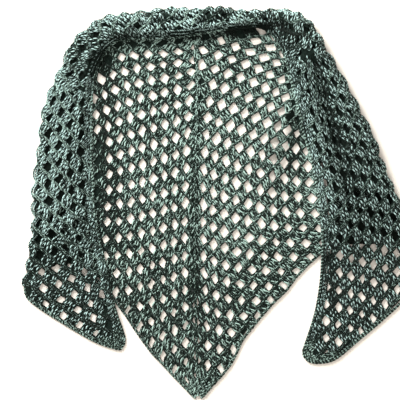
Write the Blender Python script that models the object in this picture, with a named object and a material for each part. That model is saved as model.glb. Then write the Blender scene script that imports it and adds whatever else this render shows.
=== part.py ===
"""Crochet triangle shawl laid flat, its neck edge rolled over and both wings folded down over the front."""

import math
from collections import namedtuple

import bpy
import numpy as np

# Driving dimensions, in metres
SQUARE = 0.00185  # one square of the layout chart
CHART_MIDDLE = (220.4, 203.0)  # chart point over the origin
CLOTH = 0.0045  # wall of double crochet in worsted yarn
SEAM = 0.0003  # gap between neighbouring stretches
LAYER_GAP = 0.0004  # gap between cloth layers lying on each other
UNDERLAYER_GAP = 0.0010  # room that the folded layers leave under the wall
EDGING_WIDTH = 0.0064
EDGING_HEIGHT = 0.0056
SPINE_WIDTH = 0.0074
SPINE_HEIGHT = 0.0052
SCALLOP_DEPTH = 0.0030  # how far each cluster bulges past the side fold
FOLD_PLUMP = 0.45  # plan radius of a side fold over its height
FOLD_TUCK = math.radians(130)  # how far round a side fold turns
ROWS_PER_SECTION = 2
TOP_SHARES = (0.0, 0.12, 0.28, 0.48, 0.70, 0.87, 1.0)
TURN_SHARES = (0.2, 0.4, 0.6, 0.8, 1.0)

# Chart squares run right (x) and down (y). One row for each section of the long edge's band, from the
# left wing's point round the neck to the right wing's point. The front edge is (front_x, front_y), and
# the outer line is the side fold, or the wing's hem where hem is 1. Heights are in millimetres.
Section = namedtuple("Section", "front_x front_y outer_x outer_y lift crest hem")
BAND = [
    Section(125.5, 337.0, 116.0, 350.0, 0.0, 4.6, 1),
    Section(122.5, 326.0, 94.0, 342.0, 0.0, 4.6, 1),
    Section(118.5, 315.0, 61.0, 322.5, 0.0, 4.7, 1),
    Section(115.0, 302.0, 30.0, 301.5, 0.0, 4.8, 1),
    Section(112.0, 289.0, 23.6, 289.0, 0.0, 5.5, 0),
    Section(108.5, 272.0, 26.6, 272.0, 0.0, 7.5, 0),
    Section(104.5, 255.0, 30.0, 255.0, 0.0, 10.0, 0),
    Section(100.0, 235.0, 32.2, 235.0, 0.0, 13.0, 0),
    Section(97.0, 217.0, 34.0, 217.5, 0.0, 16.5, 0),
    Section(94.5, 199.0, 33.0, 200.0, 0.0, 19.0, 0),
    Section(94.0, 180.0, 34.6, 182.0, 0.0, 21.0, 0),
    Section(92.5, 160.0, 37.2, 162.0, 0.0, 22.0, 0),
    Section(93.3, 141.0, 40.5, 142.0, 0.0, 23.0, 0),
    Section(93.0, 123.0, 41.8, 122.0, 0.0, 24.0, 0),
    Section(93.2, 105.0, 46.8, 102.0, 0.0, 25.0, 0),
    Section(94.0, 88.0, 54.0, 84.0, 0.5, 26.0, 0),
    Section(97.5, 72.0, 62.5, 66.0, 2.0, 28.0, 0),
    Section(103.0, 58.5, 72.5, 44.0, 4.0, 29.0, 0),
    Section(110.0, 48.5, 87.0, 30.0, 5.0, 30.0, 0),
    Section(118.0, 42.5, 102.5, 19.0, 5.0, 30.0, 0),
    Section(127.0, 40.5, 117.0, 15.8, 5.0, 30.0, 0),
    Section(138.0, 40.0, 132.0, 14.2, 5.0, 30.0, 0),
    Section(151.0, 40.0, 149.0, 12.0, 5.0, 31.0, 0),
    Section(165.0, 39.8, 164.5, 9.8, 5.0, 31.0, 0),
    Section(178.0, 38.8, 178.0, 9.0, 5.0, 31.0, 0),
    Section(190.5, 37.2, 190.5, 10.4, 6.0, 31.0, 0),
    Section(203.0, 35.0, 203.0, 10.0, 7.0, 31.0, 0),
    Section(214.0, 33.0, 215.0, 8.4, 8.0, 32.0, 0),
    Section(224.0, 31.4, 225.0, 9.0, 9.0, 32.0, 0),
    Section(234.0, 30.0, 235.5, 11.2, 9.0, 31.0, 0),
    Section(246.0, 28.8, 248.0, 12.0, 9.0, 31.0, 0),
    Section(257.0, 28.6, 262.0, 11.6, 8.0, 32.0, 0),
    Section(265.5, 31.5, 277.5, 10.8, 7.0, 33.0, 0),
    Section(271.5, 37.0, 292.0, 12.2, 5.0, 33.0, 0),
    Section(276.5, 44.0, 304.5, 18.5, 4.0, 33.0, 0),
    Section(282.0, 54.0, 315.5, 31.0, 2.0, 31.0, 0),
    Section(286.5, 68.0, 325.5, 50.0, 1.0, 30.0, 0),
    Section(290.5, 84.0, 337.5, 70.0, 0.5, 29.0, 0),
    Section(295.0, 102.0, 349.5, 92.0, 0.0, 28.0, 0),
    Section(299.5, 120.0, 361.0, 114.0, 0.0, 27.0, 0),
    Section(303.8, 138.0, 371.5, 135.0, 0.0, 26.0, 0),
    Section(308.8, 155.0, 379.5, 156.0, 0.0, 25.0, 0),
    Section(312.8, 172.0, 386.5, 175.0, 0.0, 23.0, 0),
    Section(316.2, 190.0, 394.5, 193.0, 0.0, 20.0, 0),
    Section(318.5, 208.0, 401.5, 210.0, 0.0, 16.5, 0),
    Section(320.2, 226.0, 407.5, 227.0, 0.0, 13.0, 0),
    Section(321.3, 244.0, 412.0, 244.0, 0.0, 10.0, 0),
    Section(320.7, 262.0, 415.0, 262.0, 0.0, 7.5, 0),
    Section(319.5, 280.0, 416.0, 280.0, 0.0, 5.5, 0),
    Section(317.0, 298.0, 406.0, 298.5, 0.0, 4.8, 1),
    Section(314.0, 313.0, 383.0, 320.5, 0.0, 4.7, 1),
    Section(309.5, 328.0, 359.0, 341.0, 0.0, 4.6, 1),
    Section(305.5, 340.0, 335.0, 360.5, 0.0, 4.6, 1),
    Section(302.5, 349.0, 315.0, 364.0, 0.0, 4.6, 1),
]
LEFT_POINT = ((121.0, 350.5), (125.0, 345.0))  # outline round the left wing's point, hem side first
RIGHT_POINT = ((308.0, 362.5), (302.5, 356.5))

# The stretches of the band, by the sections where each starts and ends
Stretch = namedtuple("Stretch", "name first last")
STRETCHES = [
    Stretch("left_wing", 0.0, 15.0),
    Stretch("left_shoulder", 15.0, 20.0),
    Stretch("neck_roll", 20.0, 31.0),
    Stretch("right_shoulder", 31.0, 36.0),
    Stretch("right_wing", 36.0, 53.0),
]
EDGINGS = [
    Stretch("left_wing_edging", 0.0, 15.0),
    Stretch("left_shoulder_edging", 15.0, 20.0),
    Stretch("neck_edging", 20.0, 31.0),
    Stretch("right_shoulder_edging", 31.0, 36.0),
    Stretch("right_wing_edging", 36.0, 53.0),
]
UNDERLAYERS = [
    Stretch("left_hidden_layers", 8.5, 15.0),
    Stretch("left_shoulder_hidden_layers", 15.0, 20.0),
    Stretch("neck_hidden_layers", 20.0, 31.0),
    Stretch("right_shoulder_hidden_layers", 31.0, 36.0),
    Stretch("right_hidden_layers", 36.0, 43.0),
]

# Creases, each along a line, raised (+) or sunk (-) by height millimetres over half_width squares
Crease = namedtuple("Crease", "x0 y0 x1 y1 half_width height")
BAND_CREASES = [
    Crease(74.0, 52.0, 80.0, 100.0, 6.0, -6.0),
    Crease(57.0, 112.0, 52.0, 170.0, 6.0, -3.0),
    Crease(78.0, 150.0, 72.0, 210.0, 7.0, -3.0),
    Crease(128.0, 35.0, 143.0, 26.0, 4.5, -10.0),
    Crease(154.0, 23.0, 188.0, 19.0, 3.5, -7.0),
    Crease(200.0, 23.0, 229.0, 19.0, 3.0, -7.0),
    Crease(272.0, 27.0, 284.0, 28.0, 7.0, -9.0),
    Crease(292.0, 50.0, 298.0, 84.0, 5.0, -8.0),
    Crease(318.0, 60.0, 324.0, 92.0, 5.0, -9.0),
    Crease(324.0, 92.0, 338.0, 138.0, 5.5, -11.0),
    Crease(338.0, 138.0, 348.0, 185.0, 6.0, -9.0),
    Crease(348.0, 185.0, 356.0, 216.0, 6.0, -5.0),
]
BACK_CREASES = [
    Crease(287.0, 112.0, 279.5, 134.0, 5.0, 9.0),
    Crease(279.5, 134.0, 275.0, 158.0, 5.0, 8.0),
    Crease(275.0, 158.0, 274.0, 188.0, 5.0, 5.0),
]

# The back's legs and centre line: x at each y, from the tip up to the side folds
Leg = namedtuple("Leg", "y left_x spine_x right_x")
BACK = [
    Leg(399.0, 195.4, 198.0, 200.8),
    Leg(397.5, 193.0, 198.0, 203.6),
    Leg(393.5, 188.8, 197.9, 207.6),
    Leg(385.0, 180.8, 197.6, 214.4),
    Leg(375.0, 171.0, 197.3, 224.2),
    Leg(364.0, 161.0, 197.0, 232.8),
    Leg(353.0, 150.2, 196.8, 238.6),
    Leg(342.0, 142.0, 196.6, 243.0),
    Leg(329.0, 133.0, 196.3, 252.4),
    Leg(316.0, 124.6, 196.0, 263.5),
    Leg(303.0, 115.2, 195.7, 275.0),
    Leg(290.0, 104.0, 195.5, 288.6),
    Leg(278.0, 93.7, 195.4, 297.2),
    Leg(266.0, 83.5, 195.2, 308.4),
    Leg(255.0, 74.0, 195.1, 320.5),
    Leg(240.0, 61.3, 195.0, 333.2),
    Leg(222.0, 46.0, 195.0, 348.5),
    Leg(200.0, 27.0, 195.1, 367.0),
    Leg(180.0, 10.0, 195.4, 384.0),
    Leg(160.0, -8.0, 195.9, 401.0),
    Leg(140.0, -25.0, 196.3, 418.0),
    Leg(120.0, -42.0, 196.7, 435.0),
    Leg(100.0, -59.0, 197.0, 452.0),
    Leg(80.0, -76.0, 197.1, 469.0),
    Leg(60.0, -93.0, 197.2, 486.0),
    Leg(40.0, -110.0, 197.2, 503.0),
    Leg(20.0, -127.0, 197.2, 520.0),
]
BACK_TOP = 20.0  # where the back goes under the neck roll
BACK_END = 387.4  # last row of the back's walls, above the tip's edging
BACK_INSET = 7.5  # squares from a side fold to the back's own hidden side
BACK_ROWS = 32
BACK_SHARES = (0.0, 0.35, 0.70, 1.0)  # columns from the centre line to the crease
CREASE_STEPS = (-9.0, -4.5, 0.0, 4.5, 9.0)  # squares either side of the crease
CREASE_X = ((20.0, 288.0), (100.0, 289.0), (112.0, 287.0), (134.0, 279.5), (158.0, 275.0), (188.0, 274.0))
STEP_REACH = 14.0  # squares past the back's edge over which the band comes down to the table

COLOURS = {
    "cloth": (0.075, 0.125, 0.100, 1.0),
    "edging": (0.095, 0.150, 0.120, 1.0),
    "hidden": (0.030, 0.052, 0.042, 1.0),
}


def smooth_row(table, s):
    """The table's row at a fractional index, by a Catmull-Rom curve through its rows."""
    last = len(table) - 1
    i = min(int(s), last - 1)
    t = s - i
    rows = [np.array(table[min(max(i + k, 0), last)], float) for k in (-1, 0, 1, 2)]
    before, start, end, after = rows
    return 0.5 * (
        2 * start
        + (end - before) * t
        + (2 * before - 5 * start + 4 * end - after) * t * t
        + (3 * start - before - 3 * end + after) * t ** 3
    )


def crease_height(creases, x, y):
    """Metres that the creases raise or sink the cloth at a chart point."""
    raised, sunk = 0.0, 0.0
    for crease in creases:
        run = np.array((crease.x1 - crease.x0, crease.y1 - crease.y0))
        reach = np.array((x - crease.x0, y - crease.y0))
        share = min(max(float(reach @ run) / float(run @ run), 0.0), 1.0)
        away = float(np.linalg.norm(reach - share * run)) / crease.half_width
        height = 0.001 * crease.height * math.exp(-away * away)
        raised, sunk = max(raised, height), min(sunk, height)
    return raised + sunk


def place(x, y, z):
    """A chart point and a height in metres as a point of the part."""
    return ((x - CHART_MIDDLE[0]) * SQUARE, (CHART_MIDDLE[1] - y) * SQUARE, z)


def back_at(y):
    """The legs' and the centre line's x at this y."""
    ys = [row.y for row in BACK][::-1]
    return [float(np.interp(y, ys, [row[k] for row in BACK][::-1])) for k in (1, 2, 3)]


def side_folds(y):
    """x of the left and right side folds at this y, read from the band's outer line."""
    middle = 26
    left = sorted((row.outer_y, row.outer_x) for row in BAND[4:middle] if row.outer_x < CHART_MIDDLE[0])
    right = sorted((row.outer_y, row.outer_x) for row in BAND[middle:49] if row.outer_x > CHART_MIDDLE[0])
    return (
        float(np.interp(y, [p[0] for p in left], [p[1] for p in left])),
        float(np.interp(y, [p[0] for p in right], [p[1] for p in right])),
    )


def leg_slant(y):
    """Width across the edging over its width along x, at the left and the right leg."""
    low, high = back_at(y + 6), back_at(y - 6)
    return [math.hypot(12.0, high[k] - low[k]) / 12.0 for k in (0, 2)]


def back_sides(y):
    """x where the left and right back halves start at the sides, inside the edging or the side fold."""
    legs = back_at(y)
    folds = side_folds(y)
    slant = leg_slant(y)
    inset = (EDGING_WIDTH + SEAM) / SQUARE
    return (
        max(legs[0] + inset * slant[0], folds[0] + BACK_INSET),
        min(legs[2] - inset * slant[1], folds[1] - BACK_INSET),
    )


def support(x, y):
    """Height of the cloth that the band lies on at a chart point: the back, its edging, or the table."""
    if y < BACK_TOP - 2:
        return 0.0
    legs = back_at(y)
    if x < legs[0] - STEP_REACH or x > legs[2] + STEP_REACH:
        return 0.0
    near_leg = min(x - legs[0], legs[2] - x) < STEP_REACH + 5
    top = EDGING_HEIGHT if near_leg else CLOTH
    lift = max(crease_height(BACK_CREASES, x - step, y) for step in (0.0, 4.0, 8.0))
    return top + lift + LAYER_GAP


def ease(share):
    share = min(max(share, 0.0), 1.0)
    return share * share * (3 - 2 * share)


def band_section(s):
    """The band's section at s: for each point across it, (x, y, outer height, inner x, inner y, inner height)."""
    row = Section(*smooth_row(BAND, s))
    front = np.array((row.front_x, row.front_y))
    outer = np.array((row.outer_x, row.outer_y))
    across = outer - front
    length = float(np.linalg.norm(across))
    across = across / length
    hem = min(max(row.hem, 0.0), 1.0)
    inset = (EDGING_WIDTH + SEAM) / SQUARE
    bulge = SCALLOP_DEPTH / SQUARE * abs(math.sin(math.pi * s)) * (1 - hem)
    end = length + bulge - hem * inset
    crest = 0.001 * row.crest
    lift = 0.001 * row.lift
    radius = max(FOLD_PLUMP * crest / SQUARE, 1.3)
    turn = max(end - radius, inset + 2.0)
    radius = end - turn
    points = []
    for share in TOP_SHARES:
        reach = inset + (turn - inset) * share
        x, y = front + across * reach
        low = lift + (crest - CLOTH - lift) * ease((reach - inset) / (0.28 * length) + 0.25)
        creases = crease_height(BAND_CREASES, x, y) * min(crest / 0.020, 1.0)
        low = max(low + creases, support(x, y), 0.0)
        if share == 0.0:
            low = max(low, support(front[0], front[1]))
        points.append((x, y, low + CLOTH, x, y, low))
    top = points[-1][2]
    thin = CLOTH / SQUARE
    for share in TURN_SHARES:
        angle = FOLD_TUCK * share
        drop = 0.391 + 0.609 * math.cos(angle)
        if share == TURN_SHARES[-1]:
            drop = 0.0
        out = front + across * (turn + radius * math.sin(angle))
        inner_radius = max(radius - thin, 0.35 * radius)
        inside = front + across * (turn + inner_radius * math.sin(angle))
        points.append((out[0], out[1], top * drop, inside[0], inside[1], (top - CLOTH) * drop))
    return points, across, inset


def loft(name, sections, material, collection):
    """A closed body through rings of points, each ring with as many points, and flat ends."""
    count = len(sections[0])
    points = [place(*point) for ring in sections for point in ring]
    faces = []
    for i in range(len(sections) - 1):
        for k in range(count):
            a = i * count + k
            b = i * count + (k + 1) % count
            faces.append((a, b, b + count))
            faces.append((a, b + count, a + count))
    faces += cap(sections[0], 0)[::-1]
    last = (len(sections) - 1) * count
    faces += [face[::-1] for face in cap(sections[-1], last)]
    mesh = bpy.data.meshes.new(name)
    mesh.from_pydata(points, [], faces)
    mesh.validate()
    corners = np.array([[points[i] for i in face] for face in faces])
    volume = np.einsum("ij,ij->i", corners[:, 0], np.cross(corners[:, 1], corners[:, 2])).sum()
    if volume < 0:
        mesh.flip_normals()
    mesh.shade_smooth()
    mesh.set_sharp_from_angle(angle=math.radians(50))
    body = bpy.data.objects.new(name, mesh)
    body.data.materials.append(material)
    collection.objects.link(body)
    return body


def cap(ring, start):
    """Triangles over a ring whose point k faces point count-1-k, as a wall's outer and inner lines do."""
    count = len(ring)
    faces = []
    for k in range(count // 2 - 1):
        a, b = start + k, start + k + 1
        c, d = start + count - 2 - k, start + count - 1 - k
        faces.append((a, c, b))
        if d != c:
            faces.append((a, d, c))
    return faces


def rows_between(first, last):
    """Section indices from first to last, held back from both ends by half a seam."""
    steps = round((last - first) * ROWS_PER_SECTION)
    rows = [first + (last - first) * k / steps for k in range(steps + 1)]
    hold = 0.014
    rows[0] += hold if first > 0 else 0
    rows[-1] -= hold if last < len(BAND) - 1 else 0
    return rows


def band_wall(stretch, material, collection):
    rings = []
    for s in rows_between(stretch.first, stretch.last):
        points, _, _ = band_section(s)
        rings.append([p[:3] for p in points] + [p[3:] for p in reversed(points)])
    loft(stretch.name, rings, material, collection)


def hidden_layers(stretch, material, collection):
    """The rounded solid of the layers folded inside the band, between its wall and the back."""
    gap = UNDERLAYER_GAP
    rings = []
    for s in rows_between(stretch.first, stretch.last):
        points, across, _ = band_section(s)
        upper, lower = [], []
        for k, (_, _, _, x, y, low) in enumerate(points[1:-2]):
            inward = 0.0 if k < len(TOP_SHARES) - 1 else 1.2 * gap / SQUARE
            x, y = x - across[0] * inward, y - across[1] * inward
            floor = max(support(x, y), SPINE_HEIGHT + LAYER_GAP)
            upper.append((x, y, max(low - gap, floor + 0.0010)))
            lower.append((x, y, floor))
        rings.append(lower + upper[::-1])
    loft(stretch.name, rings, material, collection)


def strip_ring(outer, inner, low, high):
    """Ring of a rounded edging strip between two chart points, on a base at height low."""
    outer, inner = np.array(outer), np.array(inner)
    ring = []
    for share, rise in ((0.0, 0.35), (0.22, 0.92), (0.55, 1.0), (1.0, 0.80)):
        x, y = outer + (inner - outer) * share
        ring.append((x, y, low + (high - low) * rise))
    for share in (1.0, 0.55, 0.22, 0.0):
        x, y = outer + (inner - outer) * share
        ring.append((x, y, low))
    return ring


def band_edging(stretch, material, collection):
    """The edging worked along the front edge, and round a wing's point and hem."""
    width = EDGING_WIDTH / SQUARE
    front_rings, hem_rings = [], []
    for s in rows_between(stretch.first, stretch.last):
        row = Section(*smooth_row(BAND, s))
        points, across, _ = band_section(s)
        front = np.array((row.front_x, row.front_y))
        low = points[0][5]
        front_rings.append(strip_ring(front, front + across * width, low, low + EDGING_HEIGHT))
        if row.hem > 0.5:
            end = np.array((row.outer_x, row.outer_y))
            hem_rings.append(strip_ring(end, end - across * width, 0.0, EDGING_HEIGHT))
    rings = front_rings
    if hem_rings:
        at_start = stretch.first == 0.0
        point = LEFT_POINT if at_start else RIGHT_POINT
        s = stretch.first if at_start else stretch.last
        points, across, _ = band_section(s)
        row = Section(*smooth_row(BAND, s))
        past = np.array((-across[1], across[0])) * (SEAM / SQUARE) * (-1 if at_start else 1)
        hem_end = np.array((row.outer_x, row.outer_y)) - across * width + past
        front_end = np.array((row.front_x, row.front_y)) + across * width + past
        turn = [
            strip_ring(point[0], hem_end, 0.0, EDGING_HEIGHT),
            strip_ring(point[1], front_end, 0.0, EDGING_HEIGHT),
        ]
        if at_start:
            rings = hem_rings[::-1] + turn + front_rings
        else:
            rings = front_rings + turn[::-1] + hem_rings[::-1]
    loft(stretch.name, rings, material, collection)


def back_rows():
    return [BACK_TOP + (BACK_END - BACK_TOP) * k / BACK_ROWS for k in range(BACK_ROWS + 1)]


def back_columns(y, side):
    """x of the points across half the back, close together over the right half's crease."""
    start = back_at(y)[1] + side * (SPINE_WIDTH / 2 + SEAM) / SQUARE
    end = back_sides(y)[0 if side < 0 else 1]
    crease = float(np.interp(y, [p[0] for p in CREASE_X], [p[1] for p in CREASE_X]))
    steps = CREASE_STEPS
    if side < 0 or crease + 12 > end:
        crease = start + 0.6 * (end - start)
        steps = [0.25 / 9.0 * step * abs(end - start) * side for step in CREASE_STEPS]
    first = crease + steps[0]
    last = crease + steps[-1]
    columns = [start + (first - start) * share for share in BACK_SHARES[:-1]]
    columns += [crease + step for step in steps]
    return columns + [last + (end - last) * share for share in (0.5, 1.0)]


def back_half(name, side, material, collection):
    """The left (-1) or right (+1) half of the back, from the centre line to its leg or side fold."""
    rings = []
    for y in back_rows():
        top, bottom = [], []
        for x in back_columns(y, side):
            lift = crease_height(BACK_CREASES, x, y)
            lift = lift if lift > 0.0004 else 0.0
            top.append((x, y, CLOTH + lift))
            bottom.append((x, y, lift))
        rings.append(top + bottom[::-1])
    loft(name, rings, material, collection)


def spine_strip(material, collection):
    half = SPINE_WIDTH / 2 / SQUARE
    rings = []
    for y in back_rows():
        x = back_at(y)[1]
        rings.append(
            [(x - half, y, 0.8 * SPINE_HEIGHT), (x, y, SPINE_HEIGHT), (x + half, y, 0.8 * SPINE_HEIGHT)]
            + [(x + half, y, 0.0), (x, y, 0.0), (x - half, y, 0.0)]
        )
    loft("spine", rings, material, collection)


def hem_edging(name, side, material, collection):
    """The edging along one leg of the back, from under the wing to the tip."""
    index, slant_index = (0, 0) if side < 0 else (2, 1)
    fold_index = 0 if side < 0 else 1
    start = next(
        y
        for y in np.arange(150.0, 260.0, 0.5)
        if side * (side_folds(y)[fold_index] - back_at(y)[index]) > BACK_INSET
    )
    width = EDGING_WIDTH / SQUARE
    rows = [float(start)] + [y for y in back_rows() if y > start + 1]
    rings = []
    for y in rows:
        outer = back_at(y)[index]
        rings.append(strip_ring((outer, y), (outer - side * width * leg_slant(y)[slant_index], y), 0.0, EDGING_HEIGHT))
    for y in (388.2, 391.0, 394.5, 397.5, 399.0):
        legs = back_at(y)
        rings.append(strip_ring((legs[index], y), (legs[1] + side * 0.1, y), 0.0, EDGING_HEIGHT))
    loft(name, rings, material, collection)


def material_of(name, colour, roughness):
    material = bpy.data.materials.new(name)
    material.use_nodes = True
    shader = material.node_tree.nodes["Principled BSDF"]
    shader.inputs["Base Color"].default_value = colour
    shader.inputs["Roughness"].default_value = roughness
    shader.inputs["Metallic"].default_value = 0.0
    material.diffuse_color = colour
    return material


def main():
    for thing in list(bpy.data.objects):
        bpy.data.objects.remove(thing)
    bpy.context.scene.unit_settings.system = "METRIC"
    shawl = bpy.data.collections.new("crochet_triangle_shawl")
    bpy.context.scene.collection.children.link(shawl)

    def made_of(name, kind, roughness=0.85):
        return material_of(name + "_yarn", COLOURS[kind], roughness)

    # The back, lying on the table, in two halves about the centre line
    back_half("back_left", -1, made_of("back_left", "cloth"), shawl)
    back_half("back_right", 1, made_of("back_right", "cloth"), shawl)
    spine_strip(made_of("spine", "cloth"), shawl)
    hem_edging("hem_edging_left", -1, made_of("hem_edging_left", "edging"), shawl)
    hem_edging("hem_edging_right", 1, made_of("hem_edging_right", "edging"), shawl)

    # The band along the long edge, turned over the back from wing point to wing point
    for stretch in STRETCHES:
        band_wall(stretch, made_of(stretch.name, "cloth"), shawl)
    for stretch in EDGINGS:
        band_edging(stretch, made_of(stretch.name, "edging"), shawl)

    # The layers folded inside the band
    for stretch in UNDERLAYERS:
        hidden_layers(stretch, made_of(stretch.name, "hidden", 0.95), shawl)


main()
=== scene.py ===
"""Looks of the crochet triangle shawl: marled yarn worked in clusters, chains and braided edgings."""

import math
from collections import namedtuple

import bpy
import numpy as np
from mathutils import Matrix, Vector


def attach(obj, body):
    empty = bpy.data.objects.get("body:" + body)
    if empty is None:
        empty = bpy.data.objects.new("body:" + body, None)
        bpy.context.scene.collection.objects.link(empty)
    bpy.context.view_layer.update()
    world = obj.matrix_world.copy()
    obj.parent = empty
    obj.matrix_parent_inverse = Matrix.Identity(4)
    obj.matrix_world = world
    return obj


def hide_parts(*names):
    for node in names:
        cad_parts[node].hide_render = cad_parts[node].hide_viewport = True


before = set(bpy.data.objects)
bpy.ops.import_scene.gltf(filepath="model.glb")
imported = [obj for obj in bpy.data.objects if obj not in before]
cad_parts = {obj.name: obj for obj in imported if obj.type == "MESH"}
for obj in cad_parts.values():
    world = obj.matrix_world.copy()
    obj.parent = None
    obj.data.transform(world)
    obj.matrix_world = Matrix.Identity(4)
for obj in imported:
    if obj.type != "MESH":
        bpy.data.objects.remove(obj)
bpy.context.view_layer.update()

# The same values as the part's solids, in metres and chart squares
SQUARE = 0.00185  # one square of the layout chart
CHART_MIDDLE = (220.4, 203.0)  # chart point over the origin
CLOTH = 0.0045  # wall of double crochet in worsted yarn
LAYER_GAP = 0.0004  # gap between cloth layers lying on each other
EDGING_WIDTH = 0.0064
EDGING_HEIGHT = 0.0056
SCALLOP_DEPTH = 0.0030  # how far each cluster bulges past the side fold
FOLD_PLUMP = 0.45  # plan radius of a side fold over its height
INSET = (EDGING_WIDTH + 0.0003) / SQUARE  # squares of edging, with the seam beside it
BACK_TOP = 20.0  # where the back goes under the neck roll
BACK_INSET = 7.5  # squares from a side fold to the back's own hidden side
STEP_REACH = 14.0  # squares past the back's edge over which the band comes down to the table

# Sections of the band where each stretch starts and ends
STRETCHES = {
    "left_wing": (0, 15),
    "left_shoulder": (15, 20),
    "neck_roll": (20, 31),
    "right_shoulder": (31, 36),
    "right_wing": (36, 53),
}
BAND_END = 53
POINT_ENDS = (0.3, 52.7)  # where the loops and rows of stitches along the band's edges start and end
FOLD_SECTIONS = (4.2, 49.0)  # where the band's outer line is a side fold
HIDING_SECTIONS = (9.3, 42.2)  # where the band's folded layers hide the back under them
HIDING_REACH = 13.0  # squares from the front edge to the hidden part of the back

# Band sections: front_x, front_y, outer_x, outer_y, lift, crest, hem. Lift and crest are in millimetres,
# and hem is 1 where the outer line is a wing's hem and not a fold
BAND = np.array([
    (125.5, 337, 116, 350, 0, 4.6, 1),
    (122.5, 326, 94, 342, 0, 4.6, 1),
    (118.5, 315, 61, 322.5, 0, 4.7, 1),
    (115, 302, 30, 301.5, 0, 4.8, 1),
    (112, 289, 23.6, 289, 0, 5.5, 0),
    (108.5, 272, 26.6, 272, 0, 7.5, 0),
    (104.5, 255, 30, 255, 0, 10, 0),
    (100, 235, 32.2, 235, 0, 13, 0),
    (97, 217, 34, 217.5, 0, 16.5, 0),
    (94.5, 199, 33, 200, 0, 19, 0),
    (94, 180, 34.6, 182, 0, 21, 0),
    (92.5, 160, 37.2, 162, 0, 22, 0),
    (93.3, 141, 40.5, 142, 0, 23, 0),
    (93, 123, 41.8, 122, 0, 24, 0),
    (93.2, 105, 46.8, 102, 0, 25, 0),
    (94, 88, 54, 84, 0.5, 26, 0),
    (97.5, 72, 62.5, 66, 2, 28, 0),
    (103, 58.5, 72.5, 44, 4, 29, 0),
    (110, 48.5, 87, 30, 5, 30, 0),
    (118, 42.5, 102.5, 19, 5, 30, 0),
    (127, 40.5, 117, 15.8, 5, 30, 0),
    (138, 40, 132, 14.2, 5, 30, 0),
    (151, 40, 149, 12, 5, 31, 0),
    (165, 39.8, 164.5, 9.8, 5, 31, 0),
    (178, 38.8, 178, 9, 5, 31, 0),
    (190.5, 37.2, 190.5, 10.4, 6, 31, 0),
    (203, 35, 203, 10, 7, 31, 0),
    (214, 33, 215, 8.4, 8, 32, 0),
    (224, 31.4, 225, 9, 9, 32, 0),
    (234, 30, 235.5, 11.2, 9, 31, 0),
    (246, 28.8, 248, 12, 9, 31, 0),
    (257, 28.6, 262, 11.6, 8, 32, 0),
    (265.5, 31.5, 277.5, 10.8, 7, 33, 0),
    (271.5, 37, 292, 12.2, 5, 33, 0),
    (276.5, 44, 304.5, 18.5, 4, 33, 0),
    (282, 54, 315.5, 31, 2, 31, 0),
    (286.5, 68, 325.5, 50, 1, 30, 0),
    (290.5, 84, 337.5, 70, 0.5, 29, 0),
    (295, 102, 349.5, 92, 0, 28, 0),
    (299.5, 120, 361, 114, 0, 27, 0),
    (303.8, 138, 371.5, 135, 0, 26, 0),
    (308.8, 155, 379.5, 156, 0, 25, 0),
    (312.8, 172, 386.5, 175, 0, 23, 0),
    (316.2, 190, 394.5, 193, 0, 20, 0),
    (318.5, 208, 401.5, 210, 0, 16.5, 0),
    (320.2, 226, 407.5, 227, 0, 13, 0),
    (321.3, 244, 412, 244, 0, 10, 0),
    (320.7, 262, 415, 262, 0, 7.5, 0),
    (319.5, 280, 416, 280, 0, 5.5, 0),
    (317, 298, 406, 298.5, 0, 4.8, 1),
    (314, 313, 383, 320.5, 0, 4.7, 1),
    (309.5, 328, 359, 341, 0, 4.6, 1),
    (305.5, 340, 335, 360.5, 0, 4.6, 1),
    (302.5, 349, 315, 364, 0, 4.6, 1),
])
# Outline round each wing's point, hem side first, and a middle that the braids round it draw in to
WING_POINTS = {
    "left_wing": (((121.0, 350.5), (125.0, 345.0)), (118.0, 338.0)),
    "right_wing": (((308.0, 362.5), (302.5, 356.5)), (313.0, 348.0)),
}

# Creases: x0, y0, x1, y1, half width, height
BAND_CREASES = [
    (74, 52, 80, 100, 6, -6),
    (57, 112, 52, 170, 6, -3),
    (78, 150, 72, 210, 7, -3),
    (128, 35, 143, 26, 4.5, -10),
    (154, 23, 188, 19, 3.5, -7),
    (200, 23, 229, 19, 3, -7),
    (272, 27, 284, 28, 7, -9),
    (292, 50, 298, 84, 5, -8),
    (318, 60, 324, 92, 5, -9),
    (324, 92, 338, 138, 5.5, -11),
    (338, 138, 348, 185, 6, -9),
    (348, 185, 356, 216, 6, -5),
]
BACK_CREASES = [
    (287, 112, 279.5, 134, 5, 9),
    (279.5, 134, 275, 158, 5, 8),
    (275, 158, 274, 188, 5, 5),
]

# The back: y, left leg, centre line, right leg
BACK = np.array([
    (20, -127, 197.2, 520),
    (100, -59, 197, 452),
    (120, -42, 196.7, 435),
    (140, -25, 196.3, 418),
    (160, -8, 195.9, 401),
    (180, 10, 195.4, 384),
    (200, 27, 195.1, 367),
    (222, 46, 195, 348.5),
    (240, 61.3, 195, 333.2),
    (255, 74, 195.1, 320.5),
    (266, 83.5, 195.2, 308.4),
    (278, 93.7, 195.4, 297.2),
    (290, 104, 195.5, 288.6),
    (303, 115.2, 195.7, 275),
    (316, 124.6, 196, 263.5),
    (329, 133, 196.3, 252.4),
    (342, 142, 196.6, 243),
    (353, 150.2, 196.8, 238.6),
    (364, 161, 197, 232.8),
    (375, 171, 197.3, 224.2),
    (385, 180.8, 197.6, 214.4),
    (393.5, 188.8, 197.9, 207.6),
    (397.5, 193, 198, 203.6),
    (399, 195.4, 198, 200.8),
])

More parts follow.
